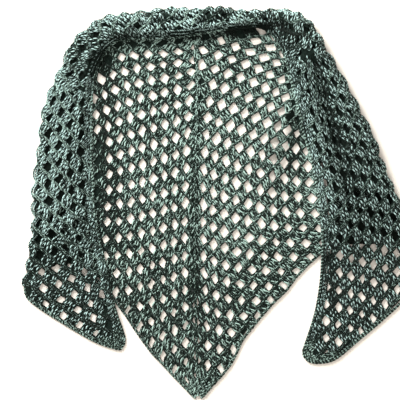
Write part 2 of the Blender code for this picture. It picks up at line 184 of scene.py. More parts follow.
# Yarns and stitches. The radii of the yarns are in millimetres
CHAIN_YARN = 1.0
EDGING_YARN = 1.35
SPINE_YARN = 1.45
ROPE_YARN = 1.2
ROPE_WAVE = 9.0  # millimetres for each turn of a rope's two strands
SIDES = 4  # of each tube of yarn
MARL_RUN = 400  # millimetres of marl that the tubes of yarn start along
GAP_P, GAP_Q = 0.19, 0.34  # half width and half height of a gap, over the period and the row height
BACK_MARGIN, BAND_MARGIN = 2.4, 3.4  # squares of closed cloth along the edges of a stretch
EDGING_HALF = 1.5  # squares from an edge to the middle of its edging
EDGING_LIFT = 0.0027  # of the edging's middle over what it lies on
SPINE_LIFT = 0.0036

# Where the photo shows no open gaps in the back: x0, x1, y0, y1 in chart squares
CLOSED_PLACES = (
    (0, 101.5, 138, 232),
    (0, 215, 0, 46),
    (0, 250, 0, 38.5),
    (287, 400, 0, 125),
    (0, 113, 0, 68),
)
SPINE_CLOSED = {-1: 3.6, 1: 5.8}  # squares of closed cloth left and right of the centre line
LEG_SLANT = {-1: 1.31, 1: 1.30}  # squares across the back for each square away from its left and right leg

# Patches where the yarn is painted darker or paler, mostly painted shade and light: shadows under the neck
# roll and beside the wings' front edges, dark creases and troughs, paler lit wings and ridges: x0, y0, x1,
# y1, half width, amount
SHADE_AND_LIGHT_PATCHES = [
    (206, 17, 226, 13, 6.5, -0.36),
    (266, 18, 284, 28, 10, -0.40),
    (284, 32, 298, 38, 5, -0.40),
    (121, 38, 134, 37, 5, -0.18),
    (155, 24, 170, 22, 4.5, -0.12),
    (110, 28, 290, 16, 16, 0.21),
    (230, 31.5, 264, 28.5, 4, -1.10),
    (104, 36, 216, 36, 4, -0.18),
    (195, 150, 196, 290, 3.5, -0.16),
    (196.5, 290, 199, 362, 7, -0.17),
    (150, 300, 240, 300, 34, -0.05),
    (150, 80, 160, 330, 42, -0.06),
    (60, 90, 50, 215, 24, 0.19),
    (89, 80, 91, 215, 4.5, 0.12),
    (103, 60, 110, 235, 12, -0.31),
    (45, 275, 110, 325, 30, -0.13),
    (97, 256, 101, 286, 3.5, 0.14),
    (106, 250, 112, 300, 3, -0.24),
    (330, 250, 330, 350, 22, -0.12),
    (328, 250, 333, 305, 5, -0.24),
    (380, 250, 370, 310, 26, -0.11),
    (289, 84, 308, 155, 5, 0.15),
    (308, 155, 321, 250, 4.5, 0.13),
    (312, 120, 330, 190, 9, 0.08),
    (318, 62, 338, 138, 7, -0.20),
    (338, 138, 362, 216, 10, -0.17),
    (328, 72, 346, 108, 6, 0.12),
    (287, 112, 276, 175, 5.5, 0.13),
    (299, 130, 293, 164, 8, -0.34),
    (276, 190, 270, 300, 20, -0.04),
    (240, 300, 215, 370, 18, -0.05),
]

# Surfaces

def steps(first, last, step=0.125):
    """Sections from first up to last, a step apart."""
    return np.arange(first, last + 0.01, step)


def smooth_rows(table, s):
    """Rows of a table at s, on a smooth curve through them."""
    last = len(table) - 1
    i = np.clip(np.floor(s).astype(int), 0, last - 1)
    t = (s - i)[..., None]
    before, start, end, after = (table[np.clip(i + k, 0, last)] for k in (-1, 0, 1, 2))
    return 0.5 * (
        2 * start
        + (end - before) * t
        + (2 * before - 5 * start + 4 * end - after) * t * t
        + (3 * start - before - 3 * end + after) * t ** 3
    )


def ease(share):
    share = np.clip(share, 0.0, 1.0)
    return share * share * (3 - 2 * share)


def unit(vectors):
    return vectors / np.maximum(np.linalg.norm(vectors, axis=-1, keepdims=True), 1e-12)


def streak(x, y, x0, y0, x1, y1, half_width):
    """1 along the line from (x0, y0) to (x1, y1), falling softly to 0 past half_width."""
    run_x, run_y = x1 - x0, y1 - y0
    share = np.clip(((x - x0) * run_x + (y - y0) * run_y) / (run_x ** 2 + run_y ** 2), 0.0, 1.0)
    away = np.hypot(x - x0 - share * run_x, y - y0 - share * run_y) / half_width
    return np.exp(-away * away)


def crease_height(creases, x, y):
    raised = np.zeros_like(x)
    sunk = np.zeros_like(x)
    for *line, height in creases:
        rise = 0.001 * height * streak(x, y, *line)
        raised = np.maximum(raised, rise)
        sunk = np.minimum(sunk, rise)
    return raised + sunk


def place(x, y, height):
    """Chart points at a height, in metres."""
    height = np.broadcast_to(height, np.shape(x))
    return np.stack([(x - CHART_MIDDLE[0]) * SQUARE, (CHART_MIDDLE[1] - y) * SQUARE, height], -1)


def back_at(y):
    """The left leg's, centre line's and right leg's x at y."""
    return [np.interp(y, BACK[:, 0], BACK[:, k]) for k in (1, 2, 3)]


def side_folds(y):
    """The left and right side folds' x at y."""
    left = np.array(sorted((row[3], row[2]) for row in BAND[4:26] if row[2] < CHART_MIDDLE[0]))
    right = np.array(sorted((row[3], row[2]) for row in BAND[26:49] if row[2] > CHART_MIDDLE[0]))
    return np.interp(y, left[:, 0], left[:, 1]), np.interp(y, right[:, 0], right[:, 1])


def support(x, y):
    """Height that the band lies on: the back, its edging, or the table, with a slope down past the legs."""
    left, _, right = back_at(y)
    inside = np.minimum(x - left, right - x)
    base = ease((inside + STEP_REACH) / 9.0)
    top = CLOTH + (EDGING_HEIGHT - CLOTH) * ease((22.0 - inside) / 6.0)
    lift = np.maximum.reduce([crease_height(BACK_CREASES, x - step, y) for step in (0.0, 4.0, 8.0)])
    height = (top + lift + LAYER_GAP) * base
    return np.where(y < BACK_TOP - 2, 0.0, height)


# Section lines of the band: points of the front edge, unit directions across, lengths, how far each is a
# hem, lift and crest in metres, and the reach and plan radius of the side fold
Lines = namedtuple("Lines", "front across length hem lift crest turn radius")


def band_lines(s):
    row = smooth_rows(BAND, s)
    front, outer = row[..., 0:2], row[..., 2:4]
    across = outer - front
    length = np.linalg.norm(across, axis=-1)
    across = across / length[..., None]
    hem = np.clip(row[..., 6], 0.0, 1.0)
    lift, crest = 0.001 * row[..., 4], 0.001 * row[..., 5]
    bulge = SCALLOP_DEPTH / SQUARE * np.abs(np.sin(np.pi * s)) * (1 - hem)
    end = length + bulge - hem * INSET
    radius = np.maximum(FOLD_PLUMP * crest / SQUARE, 1.3)
    turn = np.maximum(end - radius, INSET + 2.0)
    return Lines(front, across, length, hem, lift, crest, turn, end - turn)


def at_reach(lines, reach):
    """Chart points at a reach across from the front edge."""
    return tuple(lines.front[..., k] + lines.across[..., k] * reach for k in (0, 1))


def wall_radius(radius):
    """Radius halfway through the wall of a side fold."""
    return np.maximum(radius - 0.5 * CLOTH / SQUARE, 0.6 * radius)


def top_height(lines, reach):
    """Height of the wall's underside where it faces up."""
    held = np.maximum(reach, INSET)
    x, y = at_reach(lines, held)
    climb = ease((held - INSET) / (0.28 * lines.length) + 0.25)
    low = lines.lift + (lines.crest - CLOTH - lines.lift) * climb
    low = low + crease_height(BAND_CREASES, x, y) * np.minimum(lines.crest / 0.020, 1.0)
    return np.maximum(np.maximum(low, support(x, y)), 0.0)


def band_point(s, reach):
    """Point halfway through the band's wall, in metres. Past the fold line, reach goes round the fold."""
    lines = band_lines(s)
    low = top_height(lines, np.minimum(reach, lines.turn))
    middle = wall_radius(lines.radius)
    angle = np.clip((reach - lines.turn) / middle, 0.0, 2.25)
    drop = np.maximum(0.391 + 0.609 * np.cos(angle), 0.0)
    out = np.where(reach > lines.turn, lines.turn + middle * np.sin(angle), reach)
    height = np.where(reach > lines.turn, (low + 0.5 * CLOTH) * drop, low + 0.5 * CLOTH)
    return place(*at_reach(lines, out), height)


def cloth_frame(point, u, v, step_u, step_v):
    """Points of a surface and the directions that its cloth faces, from points a step away on each side."""
    along = point(u + step_u, v) - point(u - step_u, v)
    over = point(u, v + step_v) - point(u, v - step_v)
    return point(u, v), unit(np.cross(along, over))


def band_frame(s, reach):
    return cloth_frame(band_point, s, reach, 0.06, 0.9)


def back_point(x, y):
    return place(x, y, 0.5 * CLOTH + crease_height(BACK_CREASES, x, y))


def back_frame(x, y):
    return cloth_frame(back_point, x, y, 0.6, -0.6)


def band_find(x, y, first, last):
    """(s, reach) of chart points, on the section lines between first and last."""
    behind, never = -25.0, 1e9
    samples = np.linspace(first, last, int((last - first) * 8) + 1)
    front, across = band_lines(samples)[:2]
    shape = x.shape
    x, y = x.reshape(-1), y.reshape(-1)
    s_out, reach_out = np.empty(len(x)), np.empty(len(x))
    for start in range(0, len(x), 4000):
        part = slice(start, start + 4000)
        dx, dy = x[part, None] - front[:, 0], y[part, None] - front[:, 1]
        miss = across[:, 0] * dy - across[:, 1] * dx
        reach = across[:, 0] * dx + across[:, 1] * dy
        crossing = (miss[:, :-1] * miss[:, 1:] <= 0) & (reach[:, :-1] > behind)
        cost = np.where(crossing, np.abs(reach[:, :-1]), never)
        k = cost.argmin(1)
        rows = np.arange(len(k))
        found = cost[rows, k] < never
        lost = np.where(reach > behind, np.abs(miss), never).argmin(1)
        a, b = miss[rows, k], miss[rows, k + 1]
        apart = np.abs(a - b) > 1e-12
        t = np.where(apart, a / np.where(apart, a - b, 1), 0)
        s = samples[k] + t * (samples[k + 1] - samples[k])
        r = reach[rows, k] + t * (reach[rows, k + 1] - reach[rows, k])
        s_out[part] = np.where(found, s, samples[lost])
        reach_out[part] = np.where(found, r, reach[rows, lost])
    return s_out.reshape(shape), reach_out.reshape(shape)


def wobble(x, y):
    """Small unevenness of hand-worked rows, in chart squares."""
    dx = 0.45 * np.sin(0.29 * x + 0.17 * y + 1.3) + 0.40 * np.sin(0.41 * y - 0.13 * x + 0.4)
    dy = 0.45 * np.sin(0.23 * y - 0.27 * x + 2.1) + 0.40 * np.sin(0.37 * x + 0.19 * y + 5.0)
    return x + dx, y + dy


def uneven(r, p):
    """A fixed value from -1 to 1 for each gap or cluster."""
    value = np.sin(12.9898 * r + 78.233 * p + 0.7) * 43758.5453
    return 2 * (value - np.floor(value)) - 1


def painted_shade_and_tone(points):
    """How much paler the yarn is painted at points: painted shade and light from the listed patches, and a
    slow unevenness of the marl.
    """
    x = points[..., 0] / SQUARE + CHART_MIDDLE[0]
    y = CHART_MIDDLE[1] - points[..., 1] / SQUARE
    tone = 0.018 * np.sin(0.13 * x + 0.08 * y + 1.0) + 0.018 * np.sin(0.07 * x - 0.15 * y + 2.2)
    for *line, amount in SHADE_AND_LIGHT_PATCHES:
        tone = tone + amount * streak(x, y, *line)
    return tone


# Limits of the stretches. A margin above 0 is for gaps, 0 for stitches and below 0 for the cloth round them

def back_half(side, y):
    """A half's leg, centre line and side fold at y, times side, so that a larger x is further out."""
    left, middle, right = back_at(y)
    left_fold, right_fold = side_folds(y)
    return (right, middle, right_fold) if side > 0 else (-left, -middle, -left_fold)


def back_limits(side):
    def limits(x, y, margin):
        leg, middle, fold = back_half(side, y)
        out = side * x
        hem = (1.6 + margin) * LEG_SLANT[side]
        inside = (out < np.minimum(leg - hem, fold - BACK_INSET)) & (out > middle - 3.0 + margin * 0.3)
        if margin > 0:
            for x0, x1, y0, y1 in CLOSED_PLACES:
                inside &= ~((x > x0) & (x < x1) & (y > y0) & (y < y1))
            inside &= (out - middle > SPINE_CLOSED[side]) | (y < 70.0) | (y > 300.0)
        return inside & (y > 24.0 + margin) & (y < 393.0 - 2.5 * max(margin, 0.0))
    return limits


def back_clamp(side):
    """Holds the back's cloth inside its half, under the edging."""
    def clamp(x, y):
        y = np.clip(y, BACK_TOP + 1, 396.5)
        leg, middle, fold = back_half(side, y)
        tip = np.clip((y - 380.0) / 10.0, 0, 1)
        hold = 3.6 * 1.3 * (1 - tip) + 1.2 * tip
        return side * np.clip(side * x, middle, np.minimum(leg - hold, fold - BACK_INSET)), y
    return clamp


def back_pull(side):
    """Holds the back's stitches between the edging and the centre line."""
    def pull(x, y):
        y = np.clip(y, BACK_TOP + 1, 396.0)
        leg, middle, _ = back_half(side, y)
        return side * np.clip(side * x, middle - 1.5, np.maximum(leg - 2.9, middle + 0.5)), y
    return pull


def under_band(x, y):
    """Cloth of the back that the folded layers of the band hide."""
    s, reach = band_find(x, y, 8.0, 43.5)
    return (s > HIDING_SECTIONS[0]) & (s < HIDING_SECTIONS[1]) & (reach > HIDING_REACH)


def band_end(lines, short, turned):
    """Reach where cloth ends: short of a hem, or turned times the wall's radius past the fold line."""
    return np.where(lines.hem > 0.5, lines.length - short, lines.turn + turned * wall_radius(lines.radius))


def band_limits(first, last):
    def limits(s, reach, margin):
        lines = band_lines(np.clip(s, 0, BAND_END))
        end = band_end(lines, 1.8, 1.9)
        slack = margin / 16.0
        inner, outer = 2.4 + margin, end - margin
        if margin > 0:
            inner = inner + 10.0 * ((s < 3.2) | (s > 51.0))
            outer = outer - 6.0 * ((s > 19.5) & (s < 36.0)) - 5.0 * ((s > 3.0) & (s < 5.6))
        return (s >= first + slack) & (s < last - slack) & (reach > inner) & (reach < outer)
    return limits


def band_clamp(first, last):
    """Holds the band's cloth inside its stretch, under the edging."""
    def clamp(s, reach):
        s = np.clip(s, first, last)
        return s, np.clip(reach, 0.5 * INSET, band_end(band_lines(s), 0.35 * INSET, 2.25))
    return clamp


def band_pull(s, reach):
    """Holds the band's stitches between its front edging and its hem or the underside of its fold."""
    s = np.clip(s, 0.0, BAND_END)
    return s, np.clip(reach, 1.9, band_end(band_lines(s), 2.0, 2.2))


# Lattices of gaps

# Where some of the gaps lie in the photo, in chart squares: row of gaps, then column, x and y
BACK_LEFT_GAPS = {
    1: ((0, 193, 60), (1, 178, 52)),
    6: ((0, 187, 133), (2, 165, 108), (4, 139, 83), (6, 109, 60)),
    11: ((0, 185, 221), (2, 164, 193), (4, 142, 164), (6, 120, 138), (7, 108, 126)),
    16: ((0, 185, 307), (2, 163, 280), (4, 141, 251), (6, 119, 221), (7, 108, 206)),
    20: ((0, 186, 381), (2, 163, 356), (4, 140, 326), (6, 116, 292), (7, 104, 274)),
}
BACK_RIGHT_GAPS = {
    1: ((0, 218, 55), (2, 256, 42)),
    6: ((0, 206, 135), (2, 233, 109), (4, 265, 87), (6, 297, 75), (7, 312, 73)),
    11: ((0, 203, 222), (2, 224, 196), (4, 249, 169), (6, 275, 143), (8, 299, 119)),
    16: ((0, 206, 308), (2, 227, 282), (4, 250, 254), (6, 274, 226), (8, 298, 197)),
    20: ((0, 208, 387), (2, 233, 350), (4, 258, 316), (6, 284, 285), (8, 310, 257)),
}
LEFT_WING_GAPS = {
    -14: ((0, 52, 78), (2, 64, 97), (4, 82, 119)),
    -11: ((0, 40, 122), (2, 59, 145), (4, 81, 168)),
    -8: ((0, 36, 171), (2, 61, 196), (4, 87, 216)),
    -5: ((0, 37, 222), (2, 67, 246), (4, 95, 264)),
    -2: ((0, 42, 272), (2, 75, 294), (4, 106, 310)),
    0: ((0, 46, 304), (2, 80, 325), (4, 112, 338)),
}
RIGHT_WING_GAPS = {
    -8: ((-1, 321, 164), (1, 333, 140), (3, 339, 112), (5, 344, 84)),
    -4: ((-1, 328, 234), (1, 349, 207), (3, 363, 177), (5, 374, 147)),
    0: ((-1, 326, 304), (1, 351, 276), (3, 373, 247), (5, 393, 217)),
    4: ((-1, 330, 371), (1, 350, 345), (3, 373, 318), (5, 397, 290)),
    8: ((-1, 365, 433), (1, 364, 408), (3, 376, 385), (5, 397, 359)),
}


def float_arrays(*values):
    return np.broadcast_arrays(*(np.asarray(value, float) for value in values))


def grid_terms(r, p):
    """Terms of a fourth-degree surface in row r and column p."""
    r, p = r / 10.0, p / 8.0
    return [r ** j * p ** k for j in range(5) for k in range(5 - j)]


def lattice(gaps, r_range, p_range, slant=None):
    """Gap centres on the gently curved lattice that passes closest to the gaps given, carried on straight
    beyond the ranges of rows and columns. slant limits the column to row + slant in the first rows."""
    rows, columns, x, y = np.array([(row, *gap) for row, line in gaps.items() for gap in line], float).T
    terms = np.stack(grid_terms(rows, columns), -1)
    weights = np.linalg.lstsq(terms, np.stack([x, y], -1), rcond=None)[0]

    def curved(r, p):
        return np.moveaxis(np.stack(grid_terms(r, p), -1) @ weights, -1, 0)

    def gap(r, p):
        r, p = float_arrays(r, p)
        held_r = np.clip(r, *r_range)
        most = np.full_like(held_r, p_range[1]) if slant is None else np.minimum(p_range[1], held_r + slant)
        held_p = np.clip(p, p_range[0], np.maximum(most, p_range[0] + 1.0))
        spot = curved(held_r, held_p)
        back_r = np.where(r > held_r, 1.5, -1.5)
        back_p = np.where(p > held_p, 1.5, -1.5)
        slope_r = (spot - curved(held_r - back_r, held_p)) / back_r
        slope_p = (spot - curved(held_r, held_p - back_p)) / back_p
        return spot + slope_r * (r - held_r) + slope_p * (p - held_p)
    return gap


def neck_gap(r, p):
    """Gaps of the bunched neck, by run along the band's middle and reach across it."""
    run, reach = 12.3 * p - 14.3 * r, 12.3 * p + 2.0 * r
    bunched_run = run + 1.9 * np.sin(0.16 * run + 0.21 * reach + 0.8)
    return bunched_run, reach + 1.7 * np.sin(0.13 * run - 0.19 * reach + 2.4)


def band_runs():
    """Run of the band's middle line, in chart squares, at each section."""
    s = steps(0, BAND_END, 0.25)
    lines = band_lines(s)
    middle = np.stack(at_reach(lines, lines.length * 0.5), -1)
    return s, np.concatenate([[0], np.cumsum(np.linalg.norm(np.diff(middle, axis=0), axis=1))])


RUN_S, RUN = band_runs()


def chart_to_back(x, y):
    return x, y


def chart_to_band(first, last):
    return lambda x, y: band_find(x, y, first, last)


def run_to_band(run, reach):
    return np.interp(run + np.interp(STRETCHES["left_shoulder"][0], RUN_S, RUN), RUN, RUN_S), reach


def sizes(*pairs):
    """Sizes of gaps by row, each a little larger or smaller than its neighbours."""
    rows, values = np.array(pairs).T
    return lambda r, p: np.interp(r, rows, values) * (1 + 0.10 * uneven(r, p))


class Patch:
    """One stretch of cloth: its lattice of gaps, the surface that it lies on and its limits."""

    def __init__(self, name, gap, rows, columns, locate, size, half=0.5):
        """half is how many columns each row is shifted, and locate takes the lattice to the surface."""
        self.name, self.gap, self.half = name, gap, half
        self.rows, self.columns = rows, columns
        self.locate, self.size = locate, size
        self.lies_flat = name.startswith("back")
        if self.lies_flat:
            side = -1 if name == "back_left" else 1
            self.frame_of, self.margin, self.pull = back_frame, BACK_MARGIN, back_pull(side)
            self.limits, self.clamp = back_limits(side), back_clamp(side)
        else:
            self.frame_of, self.margin, self.pull = band_frame, BAND_MARGIN, band_pull
            self.limits, self.clamp = band_limits(*STRETCHES[name]), band_clamp(*STRETCHES[name])

    def plan(self, r, p, q):
        """Points of the lattice a share q of the way from gap (r, p) towards the next row."""
        r, p, q = float_arrays(r, p, q)
        here = np.stack(self.gap(r, p), -1)
        ahead = np.stack(self.gap(r + 1, p + self.half), -1)
        behind = np.stack(self.gap(r - 1, p - self.half), -1)
        q = q[..., None]
        spot = np.where(q >= 0, here + (ahead - here) * q, here - (behind - here) * q)
        return wobble(spot[..., 0], spot[..., 1])

    def stitch_frame(self, r, p, q):
        """Points of stitches, held inside the stretch's edges, and the directions that the cloth faces."""
        return self.frame_of(*self.pull(*self.locate(*self.plan(r, p, q))))

    def cells(self, shift):
        r, i = np.meshgrid(np.arange(*self.rows), np.arange(*self.columns), indexing="ij")
        r, i = r.reshape(-1).astype(float), i.reshape(-1).astype(float)
        return r, i, *self.locate(*self.plan(r, i + shift, 0.0))


left_sizes = sizes((0, 0.90), (3, 1.02), (9, 1.02), (12, 0.98), (15, 0.90), (17, 0.82), (20, 0.76))
right_sizes = sizes((0, 0.95), (3, 1.12), (9, 1.14), (12, 1.04), (15, 1.02), (17, 0.88), (20, 0.78))
left_wing_sizes = sizes((-15, 0.85), (-6, 0.88), (-2, 0.80), (0, 0.72))
right_wing_sizes = sizes((-9, 0.85), (0, 0.85), (4, 0.78), (9, 0.72))
back_left_gap = lattice(BACK_LEFT_GAPS, (1.0, 20.0), (0.0, 7.3), 0.5)
back_right_gap = lattice(BACK_RIGHT_GAPS, (1.0, 20.0), (-0.5, 8.6), 1.0)
left_wing_gap = lattice(LEFT_WING_GAPS, (-14.0, 0.3), (-0.3, 4.2))
right_wing_gap = lattice(RIGHT_WING_GAPS, (-8.0, 8.0), (-1.0, 5.6))
on_left, on_right = chart_to_band(-1.0, 17.0), chart_to_band(34.0, 54.0)
patches = [
    Patch("back_left", back_left_gap, (-4, 24), (-2, 17), chart_to_back, left_sizes),
    Patch("back_right", back_right_gap, (-4, 24), (-3, 15), chart_to_back, right_sizes),
    Patch("left_wing", left_wing_gap, (-24, 4), (-5, 9), on_left, left_wing_sizes, half=-0.5),
    Patch("left_shoulder", neck_gap, (-14, 14), (-14, 14), run_to_band, sizes((0, 0.62))),
    Patch("neck_roll", neck_gap, (-30, 14), (-14, 30), run_to_band, sizes((0, 0.40))),
    Patch("right_shoulder", neck_gap, (-36, 14), (-14, 36), run_to_band, sizes((0, 0.48))),
    Patch("right_wing", right_wing_gap, (-20, 12), (-6, 12), on_right, right_wing_sizes),
]


# Meshes

scene = bpy.context.scene


def add_object(name, data):
    made = bpy.data.objects.new(name, data)
    scene.collection.objects.link(made)
    return made


def make_mesh(name, points, polygons, uvs, material):
    """A mesh from arrays of polygons, each with its own number of corners."""
    mesh = bpy.data.meshes.new(name)
    corners = np.concatenate([p.reshape(-1) for p in polygons])
    totals = np.concatenate([np.full(len(p), p.shape[1]) for p in polygons])
    starts = np.concatenate([[0], np.cumsum(totals)[:-1]])
    mesh.vertices.add(len(points))
    mesh.vertices.foreach_set("co", points.reshape(-1).astype(np.float32))
    mesh.loops.add(len(corners))
    mesh.loops.foreach_set("vertex_index", corners.astype(np.int32))
    mesh.polygons.add(len(totals))
    mesh.polygons.foreach_set("loop_start", starts.astype(np.int32))
    layer = mesh.uv_layers.new(name="yarn")
    layer.data.foreach_set("uv", uvs.reshape(-1).astype(np.float32))
    mesh.update(calc_edges=True)
    mesh.shade_smooth()
    mesh.materials.append(material)
    return add_object(name, mesh)


class Yarn:
    """Collects tubes of yarn, then makes one mesh of them."""

    def __init__(self):
        self.points, self.quads, self.caps, self.tones = [], [], [], []
        self.uvs, self.cap_uvs, self.slots = [], [], []
        self.count = 0

    def add(self, paths, normals, radius, rng, slot=0, tone=0.0):
        """Tubes along paths (n, m, 3), radius in millimetres. rng says where on the marl each starts."""
        n, m, _ = paths.shape
        tangent = unit(np.gradient(paths, axis=1))
        side = unit(np.cross(tangent, normals))
        up = np.cross(side, tangent)
        turn = 2 * np.pi * np.arange(SIDES) / SIDES
        ring = np.cos(turn)[:, None] * side[:, :, None] + np.sin(turn)[:, None] * up[:, :, None]
        size = np.broadcast_to(np.asarray(radius, float), (n,))[:, None, None, None]
        points = paths[:, :, None] + 0.001 * size * ring
        points[..., 2] = np.maximum(points[..., 2], 0.0002)
        step = np.linalg.norm(np.diff(paths, axis=1), axis=-1) * 1000
        start = rng.uniform(0, MARL_RUN, (n, 1))
        along = np.concatenate([start, start + np.cumsum(step, 1)], 1)
        index = self.count + np.arange(n * m * SIDES).reshape(n, m, SIDES)
        after = np.roll(index, -1, axis=2)
        quads = np.stack([index[:, :-1], index[:, 1:], after[:, 1:], after[:, :-1]], -1)
        low = np.arange(SIDES) / SIDES
        shape = (n, m - 1, SIDES)
        u0, u1 = (np.broadcast_to(u[..., None], shape) for u in (along[:, :-1], along[:, 1:]))
        v0, v1 = (np.broadcast_to(v, shape) for v in (low, low + 1 / SIDES))
        uv = np.stack([np.stack(corner, -1) for corner in ((u0, v0), (u1, v0), (u1, v1), (u0, v1))], -2)
        # The tone attribute makes the yarn paler or darker: the given tone, plus painted shade and light and
        # a slow unevenness from the place.
        self.tones.append(np.repeat((painted_shade_and_tone(paths) + tone).reshape(-1), SIDES))
        self.points.append(points.reshape(-1, 3))
        self.quads.append(quads.reshape(-1, 4))
        self.uvs.append(uv.reshape(-1, 2))
        self.caps += [index[:, 0, ::-1], index[:, -1]]
        for end in (0, -1):
            cap_uv = np.stack(np.broadcast_arrays(along[:, end, None], low), -1)
            self.cap_uvs.append(cap_uv.reshape(-1, 2))
        self.slots.append((slot, n * (m - 1) * SIDES, 2 * n))
        self.count += n * m * SIDES

    def mesh(self, name, *materials):
        polygons = [np.concatenate(self.quads), np.concatenate(self.caps)]
        uvs = np.concatenate(self.uvs + self.cap_uvs)
        piece = make_mesh(name, np.concatenate(self.points), polygons, uvs, materials[0])
        for material in materials[1:]:
            piece.data.materials.append(material)
        index = [np.full(quads, slot) for slot, quads, _ in self.slots]
        index += [np.full(caps, slot) for slot, _, caps in self.slots]
        piece.data.polygons.foreach_set("material_index", np.concatenate(index).astype(np.int32))
        layer = piece.data.attributes.new("tone", "FLOAT", "POINT")
        layer.data.foreach_set("value", np.concatenate(self.tones).astype(np.float32))
        return piece


def twist(yarn, centre, normals, radius, wide, strands, rng, tone):
    """Strands wound round centre lines (n, m, 3). wide is the twist's radius across the cloth, in
    millimetres, and each strand is paler than the one before."""
    deep, turns = 0.85, 0.8
    n, m, _ = centre.shape
    tangent = unit(np.gradient(centre, axis=1))
    side = unit(np.cross(tangent, normals))
    share = np.linspace(0, 1, m)
    reach = np.broadcast_to(np.asarray(wide, float), (n, m))[..., None]
    start = rng.uniform(0, 1, n)
    contrast = rng.normal(0.26, 0.06, (n, 1))
    for strand in range(strands):
        angle = 2 * np.pi * (turns * share[None] + start[:, None] + strand / strands)[..., None]
        paths = centre + 0.001 * (reach * np.cos(angle) * side + deep * np.sin(angle) * normals)
        paler = 2 * strand / (strands - 1) - 1
        yarn.add(paths, normals, radius, rng, 0, tone + paler * contrast)


def even_line(path, spacing, fewest):
    """Even points along a path (m, 3), each with its run in millimetres, its side and the way up."""
    step = np.linalg.norm(np.diff(path, axis=0), axis=1)
    run = np.concatenate([[0], np.cumsum(step)]) * 1000
    at = np.linspace(0, run[-1], max(int(run[-1] / spacing), fewest))
    line = np.stack([np.interp(at, run, path[:, k]) for k in range(3)], -1)
    up = np.broadcast_to(np.array((0.0, 0.0, 1.0)), line.shape)
    return at, line, unit(np.cross(unit(np.gradient(line, axis=0)), up)), up


def braid(yarn, path, radius, wide, deep, wave, rng):
    """Three strands plaited flat along a path (m, 3) that faces up."""
    at, line, side, up = even_line(path, 2.0, 8)
    for strand in range(3):
        angle = 2 * np.pi * (at / wave + strand / 3)
        out = line + 0.001 * (wide * np.sin(angle)[:, None] * side + (deep * np.sin(2 * angle))[:, None] * up)
        yarn.add(out[None], up[None], radius, rng)


def rope(yarn, path, wide, rng):
    """Two strands wound along a line, such as the side of a row of stitches."""
    at, line, side, up = even_line(path, 1.8, 6)
    for strand in (0.0, np.pi):
        angle = 2 * np.pi * at / ROPE_WAVE + strand
        out = line + 0.001 * (wide * np.cos(angle)[:, None] * side + 0.6 * np.sin(angle)[:, None] * up)
        yarn.add(out[None], up[None], ROPE_YARN, rng)


def side_rows(yarn, first, last, seed):
    """Stitches worked into the side of the rows, inside the front edging."""
    rng = np.random.default_rng(seed)
    s = steps(first, last)
    for reach, wide in ((INSET + 1.2, 1.6), (INSET + 4.0, -1.6)):
        centre, normals = band_frame(s, np.full_like(s, reach))
        rope(yarn, centre - 0.0004 * normals, wide, rng)


def outer_loops(yarn, first, last, seed):
    """Stitches that bulge between the row ends along the outer fold."""
    rng = np.random.default_rng(seed)
    s = steps(first, last, 0.0625)
    lines = band_lines(s)
    bulge = np.abs(np.sin(np.pi * s))
    low = top_height(lines, lines.turn)
    for back, out, rise in ((1.3, 2.8, 0.55), (3.8, 2.4, 0.80)):
        x, y = at_reach(lines, lines.turn + lines.radius - back + out * (bulge - 0.5))
        rope(yarn, place(x, y, np.maximum(low * rise, 0.003)), 1.4, rng)


def stitches(patch, yarn, rng):
    """Clusters of double crochet between the gaps, and the chain along the top of each row."""
    r, i, u, v = patch.cells(0.5)
    keep = patch.limits(u, v, 0.0)
    keep &= patch.limits(*patch.locate(*patch.plan(r, i + 0.5, 0.42)), -3.5)
    if patch.lies_flat:
        keep &= ~under_band(u, v)
    r, i = r[keep], i[keep]
    n = len(r)
    before, after = patch.plan(r, i, 0.0), patch.plan(r, i + 1, 0.0)
    period = np.hypot(after[0] - before[0], after[1] - before[1]) * SQUARE * 1000
    size = patch.size(r, i + 0.5)
    share = np.linspace(0, 1, 7)
    level = -0.60 + 1.10 * share
    half = (0.5 - GAP_P * size + rng.normal(0, 0.012, n))[:, None] * (0.75 + 0.25 * ease(share * 5))[None]
    posts = 3 if patch.lies_flat else 4 if patch.name.endswith("wing") else 5
    post_half = half * period[:, None] / posts
    radius = np.clip(post_half.max(1) * (0.44 if patch.lies_flat else 0.50), 0.9, 1.4)
    wide = np.maximum(post_half - 0.80 * radius[:, None], 0.6)
    strands = 3 if patch.lies_flat else 2
    # Each cluster's tone: a random unevenness, and painted shade that darkens the posts towards their foot
    # and top. Below, the outer posts are painted a little darker too, as shade between the clusters.
    own = 0.06 * uneven(r, i + 0.5)[:, None] + 0.13 * (np.sin(np.pi * share) ** 0.7 - 0.75)[None]
    for post in np.arange(posts) - 0.5 * (posts - 1):
        p = i[:, None] + 0.5 + post * half * 2 / posts + rng.normal(0, 0.012, (n, 1))
        q = level[None] + rng.normal(0, 0.01, (n, 1))
        centre, normals = patch.stitch_frame(r[:, None], p, q)
        belly = 2.3 * np.sin(np.pi * share)[None, :, None] - 1.0
        centre = centre + 0.001 * belly * normals
        twist(yarn, centre, normals, radius, wide, strands, rng, own - 0.03 * abs(post))
    share = np.linspace(0, 1, 9)
    along = -0.04 + 1.08 * share
    dip = 0.5 * np.cos(4 * np.pi * share)[None, :, None]
    quiet = 0.0 if patch.lies_flat else 0.10
    # The row's chain: the upper strand a little paler, the lower one painted darker as shade under it; on the
    # band the two differ less.
    for q, rise, tone in ((0.46, 2.3, 0.06 - quiet), (0.58, 1.9, -0.13 + quiet)):
        level = q + rng.normal(0, 0.016, (n, 9))
        centre, normals = patch.stitch_frame(r[:, None], i[:, None] + along[None], level)
        centre = centre + 0.001 * (rise + dip) * normals
        yarn.add(centre, normals, CHAIN_YARN, rng, 1, tone + 0.06 * uneven(r, i)[:, None])


def cross_size(points, polygons, first, second):
    """Length of the cross product of two lines in each polygon, each between two of its corners."""
    run, other = (points[polygons[:, end]] - points[polygons[:, start]] for start, end in (first, second))
    return np.linalg.norm(np.cross(run, other), axis=1)


